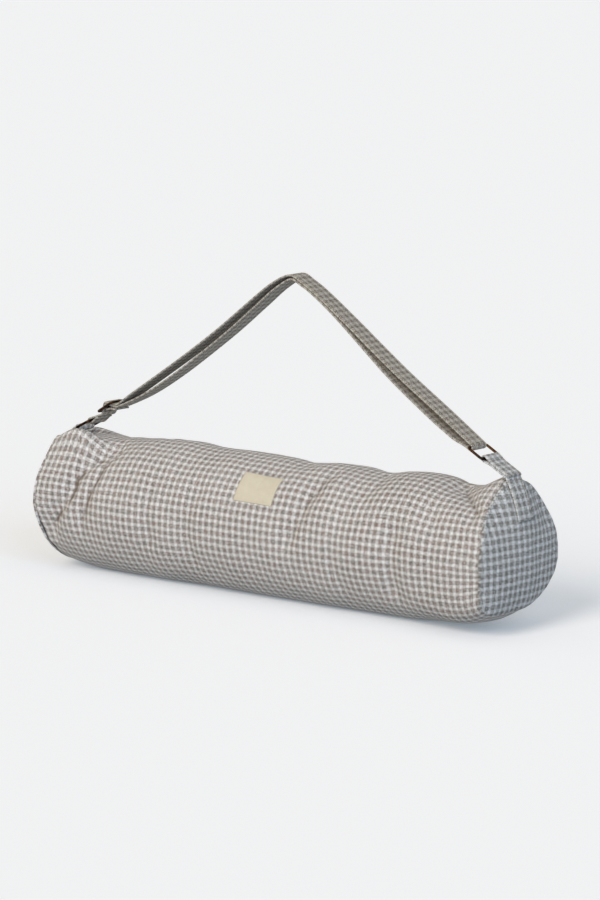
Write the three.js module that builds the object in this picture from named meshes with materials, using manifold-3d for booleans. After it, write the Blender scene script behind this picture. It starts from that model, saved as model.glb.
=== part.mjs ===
// Yoga mat bag: a stuffed cloth tube with domed end panels, lying on the floor, with its shoulder strap
// standing up in a peak. Millimetres, +Z up, the bag's length along X, the floor at Z = 0.
import * as THREE from 'three';
import { mergeVertices } from 'three/addons/utils/BufferGeometryUtils.js';
import Module from 'manifold-3d';

const wasm = await Module();
wasm.setup();

// Driving sizes of the bag
const bagLength = 650;
const bagWidth = 147;
const bagHeight = 160;
const clothWall = 2.5;
const panelDome = 10;
const floorCut = 2;
const seatGap = 0.35;

// Driving sizes of the webbing and the metal
const webWidth = 26;
const webThickness = 2.2;
const wireSize = 3;
const ringLength = 24.6;
const sliderLength = 28;
const sideClearance = 1.6;
const layerGap = 6.2;
const tabLength = 34;
const tabRise = 29;
const tabStrip = 46;
const leftTabLength = 17;
const leftTabRise = 27;
const sliderDistance = 33;
const sliderRise = 31;
const sewnLoop = 13;

// Driving sizes of the strap's peak
const peakHeight = 370;
const peakOffset = 13;

// Driving sizes of the label patch, with its place along the bag and up its front
const labelLength = 54;
const labelHeight = 38;
const labelThickness = 0.9;
const labelPlace = 3;
const labelAngle = 41;

// Sections along the bag. at: share of the half length. top: rise of the upper side, share of the height.
// side: growth of the width, share of the width. under: lift of the underside, share of the height. near and
// far: how much further out the lower front and lower back corners reach, as shares of their distance.
const sections = [
  { at: -1.000, top: -0.050, side: -0.030, under: 0.046, near: 0.00, far: 0.00 },
  { at: -0.920, top: -0.036, side: -0.008, under: 0.020, near: 0.00, far: 0.00 },
  { at: -0.840, top: -0.024, side: 0.000, under: 0.004, near: 0.00, far: 0.00 },
  { at: -0.770, top: -0.024, side: -0.010, under: 0.000, near: 0.00, far: 0.00 },
  { at: -0.700, top: -0.010, side: 0.000, under: 0.000, near: 0.00, far: 0.00 },
  { at: -0.570, top: 0.015, side: 0.008, under: 0.000, near: 0.00, far: 0.00 },
  { at: -0.460, top: 0.013, side: 0.010, under: 0.000, near: 0.00, far: 0.00 },
  { at: -0.300, top: 0.006, side: 0.006, under: 0.006, near: 0.00, far: 0.00 },
  { at: -0.150, top: 0.003, side: 0.008, under: 0.002, near: 0.00, far: 0.00 },
  { at: 0.000, top: -0.008, side: 0.004, under: 0.000, near: 0.00, far: 0.00 },
  { at: 0.110, top: -0.016, side: -0.002, under: 0.000, near: 0.00, far: 0.00 },
  { at: 0.250, top: 0.006, side: 0.008, under: 0.000, near: 0.00, far: 0.00 },
  { at: 0.340, top: -0.002, side: 0.006, under: 0.002, near: 0.00, far: 0.00 },
  { at: 0.430, top: -0.024, side: -0.004, under: 0.004, near: 0.00, far: 0.00 },
  { at: 0.510, top: 0.000, side: 0.004, under: 0.006, near: 0.01, far: 0.00 },
  { at: 0.630, top: 0.021, side: 0.008, under: 0.012, near: 0.03, far: 0.00 },
  { at: 0.700, top: 0.004, side: 0.000, under: 0.026, near: 0.05, far: 0.00 },
  { at: 0.770, top: -0.024, side: -0.008, under: 0.036, near: 0.08, far: 0.00 },
  { at: 0.850, top: -0.018, side: -0.004, under: 0.052, near: 0.12, far: 0.00 },
  { at: 0.930, top: -0.010, side: -0.010, under: 0.094, near: 0.17, far: -0.01 },
  { at: 1.000, top: -0.010, side: -0.026, under: 0.175, near: 0.23, far: -0.03 },
];

// Folds and dents. Each runs from (startAt, startAngle) to (endAt, endAngle): places as shares of the half
// length, angles in degrees up from the middle of the front (beyond 90 is the back). depth and width are
// shares of the height. A negative depth is a ridge.
const folds = [
  { startAt: -0.74, startAngle: 62, endAt: -0.83, endAngle: 22, depth: 0.030, width: 0.075 },
  { startAt: -0.83, startAngle: 22, endAt: -0.94, endAngle: -22, depth: 0.024, width: 0.075 },
  { startAt: -0.69, startAngle: 62, endAt: -0.76, endAngle: 4, depth: 0.018, width: 0.075 },
  { startAt: -0.36, startAngle: 50, endAt: -0.43, endAngle: -12, depth: 0.010, width: 0.090 },
  { startAt: 0.13, startAngle: 80, endAt: 0.26, endAngle: 44, depth: 0.010, width: 0.080 },
  { startAt: 0.26, startAngle: 44, endAt: 0.18, endAngle: 4, depth: 0.018, width: 0.080 },
  { startAt: 0.62, startAngle: 20, endAt: 0.62, endAngle: -28, depth: 0.016, width: 0.080 },
  { startAt: 0.80, startAngle: 86, endAt: 0.95, endAngle: 46, depth: 0.022, width: 0.090 },
  { startAt: -0.62, startAngle: 168, endAt: -0.52, endAngle: 122, depth: 0.018, width: 0.085 },
  { startAt: -0.08, startAngle: 172, endAt: 0.05, endAngle: 128, depth: 0.016, width: 0.090 },
  { startAt: 0.48, startAngle: 170, endAt: 0.40, endAngle: 120, depth: 0.018, width: 0.085 },
  { startAt: 0.86, startAngle: 172, endAt: 0.80, endAngle: 126, depth: 0.018, width: 0.085 },
];

// Cloth drawn up at the top of the ends, beside or under the tabs. end: which end. across: place across the
// bag, share of the webbing's width. inset: place in from the end, share of the half length. rise: share of
// the height. spread: share of the webbing's width. reach: share of the half length.
const pulls = [
  { end: 1, across: 0.00, inset: 0.000, rise: 0.072, spread: 0.80, reach: 0.085 },
  { end: 1, across: 1.60, inset: 0.000, rise: 0.075, spread: 1.10, reach: 0.090 },
  { end: -1, across: -1.25, inset: 0.090, rise: 0.125, spread: 0.55, reach: 0.110 },
  { end: -1, across: 1.12, inset: 0.000, rise: 0.078, spread: 0.38, reach: 0.120 },
];

// How far the top of each end leans in and how far in along the bag the lean reaches, as shares of the half
// length, and how far down it reaches, as a share of the height
const rightLean = 0.036;
const leftLean = 0.006;
const leanReach = 0.12;
const leanDrop = 0.384;

// How far the foot of the left end leans in, how far in along the bag that reaches, both as shares of the half
// length, and how sharply the end panel rolls out over it
const leftFoot = 0.045;
const footReach = 0.25;
const footRoll = 14;

// How full each end panel's dome stays towards its seam: 2 is a plain dome and more is fuller
const rightPuff = 2;
const leftPuff = 4;

// The bow of the strap's legs above a straight line. along: share of the leg. bow: share of its height.
const leftLegBow = [
  { along: 0.10, bow: -0.004 },
  { along: 0.22, bow: -0.008 },
  { along: 0.40, bow: -0.011 },
  { along: 0.60, bow: -0.002 },
  { along: 0.78, bow: 0.024 },
  { along: 0.90, bow: 0.034 },
];
const rightLegBow = [
  { along: 0.07, bow: 0.028 },
  { along: 0.15, bow: 0.037 },
  { along: 0.30, bow: 0.029 },
  { along: 0.45, bow: 0.013 },
  { along: 0.60, bow: 0.001 },
  { along: 0.82, bow: 0.003 },
];

// The gap between the strap's two layers. along: share of the way from the slider to the right ring. open:
// share of the layer gap.
const layerGaps = [
  { along: 0.00, open: 0.08 },
  { along: 0.05, open: 0.95 },
  { along: 0.12, open: 1.35 },
  { along: 0.25, open: 1.25 },
  { along: 0.40, open: 1.05 },
  { along: 0.48, open: 0.65 },
  { along: 0.53, open: 0.12 },
  { along: 0.62, open: 0.12 },
  { along: 0.70, open: 0.55 },
  { along: 0.80, open: 1.15 },
  { along: 0.92, open: 1.45 },
  { along: 1.00, open: 1.10 },
];

// How finely the forms are divided. topBias draws the tube's sides closer together at the top, and panelBias the
// panels' rings at the seam.
const bodySteps = 48;
const bodySides = 36;
const topBias = 0.12;
const panelSteps = 5;
const panelBias = 1.4;
const wireSides = 6;
const cornerSteps = 5;
const eyeSides = 20;
const upperSteps = 78;
const lowerSteps = 52;
const wrapSteps = 8;
const stripSteps = 6;
const labelColumns = 8;
const labelRows = 6;
const weldDistance = 1e-4;
const cutMargin = 1;

const halfLength = bagLength / 2;
const midHeight = bagHeight / 2;
const loopRadius = wireSize / 2 + seatGap + webThickness / 2;
const barPitch = ringLength - wireSize;
const sliderPitch = (sliderLength - wireSize) / 2;
const cornerRadius = sideClearance + wireSize / 2;

// Materials
const cloth = new THREE.MeshStandardMaterial({ color: 0xc9c2b8, roughness: 0.92, metalness: 0 });
const panelCloth = new THREE.MeshStandardMaterial({ color: 0xc3c4c2, roughness: 0.92, metalness: 0 });
const webbing = new THREE.MeshStandardMaterial({ color: 0xc6beb2, roughness: 0.9, metalness: 0 });
const darkMetal = new THREE.MeshStandardMaterial({ color: 0x3a2a1c, roughness: 0.35, metalness: 1 });
const labelCloth = new THREE.MeshStandardMaterial({ color: 0xe9e2cf, roughness: 0.9, metalness: 0 });

// Reads one column of a table at a place, with a smooth curve through the rows
function readColumn(table, place, column, at) {
  const last = table.length - 1;
  const value = (row) => table[THREE.MathUtils.clamp(row, 0, last)][column];
  const spot = (row) => table[THREE.MathUtils.clamp(row, 0, last)][place];
  let row = 0;
  while (row < last - 1 && at > spot(row + 1)) row += 1;
  const span = spot(row + 1) - spot(row);
  const share = THREE.MathUtils.clamp((at - spot(row)) / span, 0, 1);
  const slope = (a, b) => (value(b) - value(a)) / Math.max(spot(b) - spot(a), 1e-6) * span;
  const startSlope = slope(Math.max(row - 1, 0), row + 1);
  const endSlope = slope(row, Math.min(row + 2, last));
  const square = share * share;
  const cube = square * share;
  return (2 * cube - 3 * square + 1) * value(row) + (cube - 2 * square + share) * startSlope
    + (3 * square - 2 * cube) * value(row + 1) + (cube - square) * endSlope;
}

function bell(distance, width) {
  return Math.exp(-((distance / width) ** 2));
}

// How deep the folds are at a place on the bag, in millimetres
function foldDepth(x, angle) {
  const arc = (degrees) => THREE.MathUtils.degToRad(degrees) * midHeight;
  let depth = 0;
  for (const fold of folds) {
    const start = new THREE.Vector2(fold.startAt * halfLength, arc(fold.startAngle));
    const run = new THREE.Vector2(fold.endAt * halfLength, arc(fold.endAngle)).sub(start);
    const spot = new THREE.Vector2(x, angle * midHeight).sub(start);
    const share = THREE.MathUtils.clamp(spot.dot(run) / run.lengthSq(), 0, 1);
    const distance = spot.distanceTo(run.clone().multiplyScalar(share));
    depth += fold.depth * bagHeight * bell(distance, fold.width * bagHeight);
  }
  return depth;
}

// How far the cloth is drawn up by the tabs, in millimetres
function pullRise(along, y) {
  let rise = 0;
  for (const pull of pulls) {
    const across = bell(y - pull.across * webWidth, pull.spread * webWidth);
    const inward = bell(1 - along * pull.end - pull.inset, pull.reach);
    rise += pull.rise * bagHeight * across * inward;
  }
  return rise;
}

// A point of the tube's surface. along: -1 to 1 from the left seam to the right one. angle: radians up from
// the middle of the front. inset: depth below the outside.
function bodyPoint(along, angle, inset) {
  const top = readColumn(sections, 'at', 'top', along) * bagHeight;
  const side = readColumn(sections, 'at', 'side', along) * bagWidth;
  const under = readColumn(sections, 'at', 'under', along) * bagHeight;
  const x = along * halfLength;
  const dent = foldDepth(x, angle) + inset;
  const up = Math.sin(angle);
  const corner = readColumn(sections, 'at', Math.cos(angle) > 0 ? 'near' : 'far', along);
  const out = up > 0 ? 1 : 1 + corner * Math.abs(Math.sin(2 * angle)) ** 3;
  const y = -Math.cos(angle) * (bagWidth / 2 + side / 2 - dent) * out;
  const upper = up * (midHeight + top - dent);
  const lower = up * (midHeight + floorCut - under - dent) * out;
  const base = midHeight + (up > 0 ? upper : lower);
  const topShare = THREE.MathUtils.smoothstep(up, 0, 1);
  const z = Math.max(base + pullRise(along, y) * topShare, inset);
  const endLean = (along > 0 ? rightLean : leftLean) * halfLength;
  const lean = endLean * bell(1 - Math.abs(along), leanReach)
    * THREE.MathUtils.smoothstep(z / bagHeight, 1 - leanDrop, 1);
  return new THREE.Vector3(x - Math.sign(along) * lean + footShift(along, angle), y, z);
}

// How far the foot of the left end is drawn in at a place, in millimetres
function footShift(along, angle) {
  return leftFoot * halfLength * bell(1 + along, footReach) * Math.max(-Math.sin(angle), 0);
}

// The angles round the tube, closer together at the top
function sideAngle(side) {
  const share = 2 * side / bodySides - 1;
  return Math.PI / 2 + Math.PI * ((1 - topBias) * share + topBias * share ** 3);
}

// Turns rows of points into faces; each row is a closed ring when wrap is true
function addFaces(index, rowA, rowB, count, wrap) {
  const cells = wrap ? count : count - 1;
  for (let i = 0; i < cells; i += 1) {
    const j = (i + 1) % count;
    index.push(rowA + i, rowB + i, rowB + j);
    index.push(rowA + i, rowB + j, rowA + j);
  }
}

function makeGeometry(points, index) {
  const geometry = new THREE.BufferGeometry();
  const positions = points.flatMap((point) => [point.x, point.y, point.z]);
  geometry.setAttribute('position', new THREE.Float32BufferAttribute(positions, 3));
  geometry.setIndex(index);
  return geometry;
}

// Joins closed rings of equal length, the last back to the first, into one closed skin
function closedSkin(rings) {
  const count = rings[0].length;
  const index = [];
  rings.forEach((ring, row) => {
    addFaces(index, row * count, ((row + 1) % rings.length) * count, count, true);
  });
  return makeGeometry(rings.flat(), index);
}

function toSolid(geometry) {
  const bare = geometry.clone();
  bare.deleteAttribute('normal');
  bare.deleteAttribute('uv');
  const merged = mergeVertices(bare, weldDistance);
  const vertProperties = new Float32Array(merged.attributes.position.array);
  const triVerts = new Uint32Array(merged.index.array);
  return new wasm.Manifold(new wasm.Mesh({ numProp: 3, vertProperties, triVerts }));
}

function toGeometry(solid) {
  const mesh = solid.getMesh();
  const geometry = new THREE.BufferGeometry();
  geometry.setAttribute('position', new THREE.BufferAttribute(mesh.vertProperties, 3));
  geometry.setIndex(new THREE.BufferAttribute(mesh.triVerts, 1));
  return geometry;
}

// The tube: outside rings from left to right, then inside rings from right to left
function makeBody() {
  const sides = Array.from({ length: bodySides }, (_, side) => sideAngle(side));
  const ring = (step, inset) => sides.map((angle) => bodyPoint(2 * step / bodySteps - 1, angle, inset));
  const steps = Array.from({ length: bodySteps + 1 }, (_, step) => step);
  const outside = steps.map((step) => ring(step, 0));
  const inside = steps.map((step) => ring(step, clothWall)).reverse();
  return closedSkin([...outside, ...inside]);
}

// A point of an end panel. end: 1 or -1. share: 0 at the middle to 1 at the seam. out: distance outward.
function panelPoint(end, share, angle, out) {
  const seam = bodyPoint(end, angle, 0);
  const flat = end * halfLength;
  const foot = footShift(end, angle);
  const rim = (seam.x - flat - foot) * share ** 3 + foot * share ** footRoll;
  const full = 1 - share ** (end > 0 ? rightPuff : leftPuff);
  const x = flat + rim + end * (out + panelDome * full);
  return new THREE.Vector3(x, seam.y * share, midHeight + (seam.z - midHeight) * share);
}

function makePanel(end) {
  const sides = Array.from({ length: bodySides }, (_, side) => sideAngle(side));
  const skin = (out, share) => sides.map((angle) => panelPoint(end, share, angle, out));
  const shares = Array.from({ length: panelSteps }, (_, step) => 1 - (1 - (step + 1) / panelSteps) ** panelBias);
  const outer = shares.map((share) => skin(seatGap + clothWall, share));
  const inner = shares.map((share) => skin(seatGap, share)).reverse();
  const rings = [...outer, ...inner];
  const points = rings.flat();
  const index = [];
  for (let row = 0; row < rings.length - 1; row += 1) {
    addFaces(index, row * bodySides, (row + 1) * bodySides, bodySides, true);
  }
  const outerMiddle = points.push(panelPoint(end, 0, 0, seatGap + clothWall)) - 1;
  const innerMiddle = points.push(panelPoint(end, 0, 0, seatGap)) - 1;
  const lastRow = (rings.length - 1) * bodySides;
  for (let side = 0; side < bodySides; side += 1) {
    const next = (side + 1) % bodySides;
    index.push(outerMiddle, side, next);
    index.push(lastRow + side, innerMiddle, lastRow + next);
  }
  if (end > 0) index.reverse();
  return makeGeometry(points, index);
}

// A flat ribbon across the bag that follows a path of (x, z) points
function makeRibbon(path, thickness) {
  const left = [];
  const right = [];
  path.forEach((point, step) => {
    const before = path[Math.max(step - 1, 0)];
    const after = path[Math.min(step + 1, path.length - 1)];
    const run = after.clone().sub(before).normalize();
    const normal = new THREE.Vector2(-run.y, run.x).multiplyScalar(thickness / 2);
    left.push(point.clone().add(normal));
    right.push(point.clone().sub(normal));
  });
  return acrossBag(new THREE.Shape([...right, ...left.reverse()]), webWidth);
}

// Extrudes an outline drawn in the (x, z) plane across the bag
function acrossBag(shape, width) {
  const geometry = new THREE.ExtrudeGeometry(shape, { depth: width, bevelEnabled: false });
  geometry.rotateX(Math.PI / 2);
  geometry.translate(0, width / 2, 0);
  return geometry;
}

function makeDisc(centre, radius, width) {
  const outline = Array.from({ length: eyeSides }, (_, step) => {
    const turn = 2 * Math.PI * step / eyeSides;
    return new THREE.Vector2(centre.x + radius * Math.cos(turn), centre.y + radius * Math.sin(turn));
  });
  return toSolid(acrossBag(new THREE.Shape(outline), width));
}

// Adds a sewn eye round a bar to a webbing solid
function addEye(solid, centre) {
  const eye = makeDisc(centre, loopRadius + webThickness / 2, webWidth);
  const bore = makeDisc(centre, loopRadius - webThickness / 2, webWidth + 2 * cutMargin);
  return solid.add(eye).subtract(bore);
}

// A rectangular wire loop in the plane of the direction given and Y, with rounded corners
function makeLoop(centre, direction, length) {
  const halfRun = (length - wireSize) / 2;
  const halfAcross = (webWidth + wireSize) / 2 + sideClearance;
  const normal = new THREE.Vector3(-direction.y, 0, direction.x);
  const forward = new THREE.Vector3(direction.x, 0, direction.y);
  const rings = [];
  for (let corner = 0; corner < 4; corner += 1) {
    const forwardSign = corner === 0 || corner === 3 ? 1 : -1;
    const acrossSign = corner < 2 ? 1 : -1;
    for (let step = 0; step <= cornerSteps; step += 1) {
      const turn = (corner + step / cornerSteps) * Math.PI / 2;
      const outward = forward.clone().multiplyScalar(Math.cos(turn));
      outward.add(new THREE.Vector3(0, Math.sin(turn), 0));
      const spot = new THREE.Vector3(centre.x, 0, centre.y);
      spot.addScaledVector(forward, forwardSign * (halfRun - cornerRadius));
      spot.y += acrossSign * (halfAcross - cornerRadius);
      spot.addScaledVector(outward, cornerRadius);
      rings.push(wireRing(spot, outward, normal));
    }
  }
  return closedSkin(rings);
}

function wireRing(spot, outward, normal) {
  return Array.from({ length: wireSides }, (_, side) => {
    const turn = 2 * Math.PI * side / wireSides;
    const point = spot.clone().addScaledVector(outward, Math.cos(turn) * wireSize / 2);
    return point.addScaledVector(normal, Math.sin(turn) * wireSize / 2);
  });
}

// A direction in the (x, z) plane that rises by some degrees towards the middle of the bag from one end
function inwardDirection(end, degrees) {
  const rise = THREE.MathUtils.degToRad(degrees);
  return new THREE.Vector2(-end * Math.cos(rise), Math.sin(rise));
}

// Where a tab leaves the bag: the middle of the top of the seam, clear of the cloth over the webbing's width
function tabRoot(end) {
  const seam = bodyPoint(end, Math.PI / 2, 0);
  const spread = Math.asin(webWidth / bagWidth);
  const heights = [-1, -0.5, 0, 0.5, 1].map((share) => bodyPoint(end, Math.PI / 2 + share * spread, 0).z);
  const overSeam = seatGap + clothWall + webThickness / 2;
  return new THREE.Vector2(seam.x + end * overSeam, Math.max(...heights) + seatGap + webThickness);
}

// The tab's path down the end panel, from the lower end of its strip up to the seam, kept clear of the panel
function stripPath(end) {
  const seam = bodyPoint(end, Math.PI / 2, 0);
  const reach = seam.z - midHeight;
  const face = Array.from({ length: stripSteps + 1 }, (_, step) => {
    const share = 1 - (1 - step / stripSteps) * tabStrip / reach;
    const point = panelPoint(end, share, Math.PI / 2, seatGap + clothWall);
    return new THREE.Vector2(point.x, point.z);
  });
  const clear = 2 * seatGap + webThickness / 2;
  return face.map((point, step) => {
    const run = face[Math.min(step + 1, stripSteps)].clone().sub(face[Math.max(step - 1, 0)]).normalize();
    return point.clone().add(new THREE.Vector2(run.y, -run.x).multiplyScalar(end * clear));
  });
}

const root = { right: tabRoot(1), left: tabRoot(-1) };
const lead = { right: inwardDirection(1, tabRise), left: inwardDirection(-1, leftTabRise) };
const lowerBar = {
  right: root.right.clone().addScaledVector(lead.right, tabLength),
  left: root.left.clone().addScaledVector(lead.left, leftTabLength + loopRadius),
};
const upperBar = {
  right: lowerBar.right.clone().addScaledVector(lead.right, barPitch),
  left: lowerBar.left.clone().addScaledVector(lead.left, barPitch),
};

function makeTab(end, name) {
  const path = [...stripPath(end), root[name], lowerBar[name]];
  const strip = toSolid(makeRibbon(path, webThickness));
  const double = toSolid(makeRibbon([root[name], lowerBar[name]], 2 * webThickness));
  return toGeometry(addEye(strip.add(double), lowerBar[name]));
}

const sliderLead = inwardDirection(-1, sliderRise);
const sliderNormal = new THREE.Vector2(-sliderLead.y, sliderLead.x);
const sliderMiddle = upperBar.left.clone().addScaledVector(sliderLead, sliderDistance)
  .addScaledVector(sliderNormal, loopRadius);

function nearSlider(along, above) {
  return sliderMiddle.clone().addScaledVector(sliderLead, along).addScaledVector(sliderNormal, above);
}

// The points of one leg of the strap, from its start to its end, bowed above the straight line
function legPoints(start, end, bows) {
  const height = Math.abs(end.y - start.y);
  return bows.map(({ along, bow }) => {
    const point = start.clone().lerp(end, along);
    point.y += bow * height;
    return point;
  });
}

// The webbing's whole path: up from the left ring through the slider, over the peak, round the right ring
// and back beneath itself to the slider's middle bar
function strapPath() {
  const under = -(wireSize / 2 + 4 * seatGap + webThickness / 2);
  const over = loopRadius + webThickness + seatGap;
  const peak = new THREE.Vector2(peakOffset, peakHeight - webThickness / 2);
  const slot = nearSlider(sliderPitch, under);
  const ringNormal = new THREE.Vector2(lead.right.y, -lead.right.x);
  const wrapStart = upperBar.right.clone().addScaledVector(ringNormal, loopRadius);
  const weave = [upperBar.left, nearSlider(-sliderPitch, under), nearSlider(0, over), slot];
  const upperCurve = new THREE.SplineCurve([
    ...weave,
    ...legPoints(slot, peak, leftLegBow),
    peak,
    ...legPoints(peak, wrapStart, rightLegBow),
    wrapStart,
  ]);
  const upper = upperCurve.getSpacedPoints(upperSteps);
  const wrap = wrapPoints(upperBar.right, ringNormal);
  return [...upper, ...wrap, ...lowerLayer(upperCurve)];
}

// Half a turn round the right ring's upper bar
function wrapPoints(centre, ringNormal) {
  return Array.from({ length: wrapSteps }, (_, step) => {
    const turn = -Math.PI * (step + 1) / wrapSteps;
    return ringNormal.clone().multiplyScalar(loopRadius).rotateAround(new THREE.Vector2(), turn).add(centre);
  });
}

// The layer beneath, a gap below the upper one that closes towards the ring
function lowerLayer(upperCurve) {
  const points = [];
  const length = upperCurve.getLength();
  const start = sliderDistance + 2 * sliderPitch;
  for (let step = lowerSteps; step >= 0; step -= 1) {
    const along = step / lowerSteps;
    const place = start + (length - start - 2 * loopRadius) * along;
    const nearRing = THREE.MathUtils.smoothstep(length - place, 0, ringLength);
    const open = webThickness + seatGap + layerGap * readColumn(layerGaps, 'along', 'open', along);
    const pitch = THREE.MathUtils.lerp(2 * loopRadius, open, nearRing);
    const run = upperCurve.getTangentAt(place / length);
    const below = new THREE.Vector2(run.y, -run.x).multiplyScalar(pitch);
    points.push(upperCurve.getPointAt(place / length).add(below));
  }
  return [...points, sliderMiddle];
}

function makeStrap() {
  const path = strapPath();
  const loopEnd = upperBar.left.clone().addScaledVector(sliderLead, sewnLoop);
  const ribbon = toSolid(makeRibbon(path, webThickness));
  const sewn = toSolid(makeRibbon([upperBar.left, loopEnd], 2 * webThickness));
  return toGeometry(addEye(addEye(ribbon.add(sewn), upperBar.left), sliderMiddle));
}

function makeSlider() {
  const frame = toSolid(makeLoop(sliderMiddle, sliderLead, sliderLength));
  const across = webWidth + 2 * sideClearance + wireSize;
  const bar = new THREE.CylinderGeometry(wireSize / 2, wireSize / 2, across, 2 * wireSides);
  bar.translate(sliderMiddle.x, 0, sliderMiddle.y);
  return toGeometry(frame.add(toSolid(bar)));
}

function makeRing(name) {
  const middle = lowerBar[name].clone().lerp(upperBar[name], 0.5);
  return makeLoop(middle, lead[name], ringLength);
}

// The label patch, bent to the front of the tube
function makeLabel() {
  const columns = labelColumns;
  const rows = labelRows;
  const layer = (out) => Array.from({ length: rows + 1 }, (_, row) => {
    return Array.from({ length: columns + 1 }, (_, column) => {
      const along = (labelPlace + (column / columns - 0.5) * labelLength) / halfLength;
      const lift = (row / rows - 0.5) * labelHeight / midHeight;
      return bodyPoint(along, THREE.MathUtils.degToRad(labelAngle) + lift, -out);
    });
  });
  const points = [layer(seatGap), layer(seatGap + labelThickness)].flat(2);
  const wide = columns + 1;
  const size = wide * (rows + 1);
  const index = [];
  for (let row = 0; row < rows; row += 1) {
    addFaces(index, size + (row + 1) * wide, size + row * wide, wide, false);
    addFaces(index, row * wide, (row + 1) * wide, wide, false);
  }
  const rim = [];
  for (let column = 0; column < columns; column += 1) rim.push(column);
  for (let row = 0; row < rows; row += 1) rim.push(row * wide + columns);
  for (let column = columns; column > 0; column -= 1) rim.push(rows * wide + column);
  for (let row = rows; row > 0; row -= 1) rim.push(row * wide);
  rim.forEach((spot, step) => {
    const next = rim[(step + 1) % rim.length];
    index.push(spot, next, size + next);
    index.push(spot, size + next, size + spot);
  });
  return makeGeometry(points, index);
}

const bag = new THREE.Group();

function addPiece(name, geometry, material) {
  const mesh = new THREE.Mesh(geometry, material);
  mesh.name = name;
  bag.add(mesh);
}

addPiece('body_tube', makeBody(), cloth);
addPiece('end_panel_right', makePanel(1), panelCloth);
addPiece('end_panel_left', makePanel(-1), panelCloth);
addPiece('tab_right', makeTab(1, 'right'), webbing);
addPiece('tab_left', makeTab(-1, 'left'), webbing);
addPiece('ring_right', makeRing('right'), darkMetal);
addPiece('ring_left', makeRing('left'), darkMetal);
addPiece('slider', makeSlider(), darkMetal);
addPiece('shoulder_strap', makeStrap(), webbing);
addPiece('label_patch', makeLabel(), labelCloth);

// The origin is on the floor under the middle of the whole outline
const middle = new THREE.Box3().setFromObject(bag).getCenter(new THREE.Vector3());
bag.position.set(-middle.x, -middle.y, 0);

export default bag;
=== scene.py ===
import math

import bmesh
import bpy
import numpy as np
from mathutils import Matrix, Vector, noise


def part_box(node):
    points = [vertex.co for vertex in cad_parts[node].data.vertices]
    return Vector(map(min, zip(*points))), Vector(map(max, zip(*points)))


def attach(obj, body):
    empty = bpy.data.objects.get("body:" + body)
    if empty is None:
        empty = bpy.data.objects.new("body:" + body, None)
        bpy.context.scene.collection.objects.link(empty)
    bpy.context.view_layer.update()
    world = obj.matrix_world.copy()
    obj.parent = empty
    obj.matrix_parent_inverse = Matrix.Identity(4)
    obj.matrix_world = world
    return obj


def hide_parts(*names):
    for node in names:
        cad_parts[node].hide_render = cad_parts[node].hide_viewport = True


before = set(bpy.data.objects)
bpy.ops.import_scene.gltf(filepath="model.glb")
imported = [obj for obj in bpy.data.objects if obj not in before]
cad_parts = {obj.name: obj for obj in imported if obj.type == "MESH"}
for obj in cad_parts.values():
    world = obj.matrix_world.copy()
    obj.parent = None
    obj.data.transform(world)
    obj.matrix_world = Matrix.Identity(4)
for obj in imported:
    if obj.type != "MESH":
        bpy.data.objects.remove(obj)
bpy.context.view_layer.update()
print("frame loaded")

mm = 0.001
checkRepeat = 8.9  # one dark and one light stripe of the woven check

bag = {
    "length": 650, "width": 147, "height": 160, "wall": 2.5, "dome": 10, "floorCut": 2, "seatGap": 0.35,
    "leftFoot": 0.045, "footReach": 0.25, "footRoll": 14, "rightPuff": 2, "leftPuff": 4,
    "rightLean": 0.036, "leftLean": 0.006, "leanReach": 0.12, "leanDrop": 0.384,
    "bodyRows": 310, "bodySides": 208, "innerRows": 24, "panelRows": 46, "backRows": 8, "floorSoftness": 1.2,
    "innerDepth": 3.6, "innerFollow": 1.15, "backHollow": 5, "seamRoll": {1: 0.9, -1: 0.3}, "rollReach": 3.2,
}
creaseShadeSpan = {"from": 2.6, "full": 5.0, "width": 2.2, "most": 0.85}  # creases this deep in mm get painted shade along them
facetCurve = 1.25
halfLength = bag["length"] / 2
midHeight = bag["height"] / 2

# Sections along the bag: place along the half length, rise of the top, growth of the width, lift of the
# underside, and how much further out the lower front and lower back corners reach
sections = np.array([
    (-1.00, -0.050, -0.030, 0.046, 0, 0), (-0.92, -0.036, -0.008, 0.020, 0, 0), (-0.84, -0.024, 0, 0.004, 0, 0),
    (-0.77, -0.024, -0.010, 0, 0, 0), (-0.70, -0.010, 0, 0, 0, 0), (-0.57, 0.015, 0.008, 0, 0, 0),
    (-0.46, 0.013, 0.010, 0, 0, 0), (-0.30, 0.006, 0.006, 0.006, 0, 0), (-0.15, 0.003, 0.008, 0.002, 0, 0),
    (0, -0.008, 0.004, 0, 0, 0), (0.11, -0.016, -0.002, 0, 0, 0), (0.25, 0.006, 0.008, 0, 0, 0),
    (0.34, -0.002, 0.006, 0.002, 0, 0), (0.43, -0.024, -0.004, 0.004, 0, 0), (0.51, 0, 0.004, 0.006, 0.01, 0),
    (0.63, 0.021, 0.008, 0.012, 0.03, 0), (0.70, 0.004, 0, 0.026, 0.05, 0), (0.77, -0.024, -0.008, 0.036, 0.08, 0),
    (0.85, -0.018, -0.004, 0.052, 0.12, 0), (0.93, -0.010, -0.010, 0.094, 0.17, -0.01),
    (1.00, -0.010, -0.026, 0.175, 0.23, -0.03),
])

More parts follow.
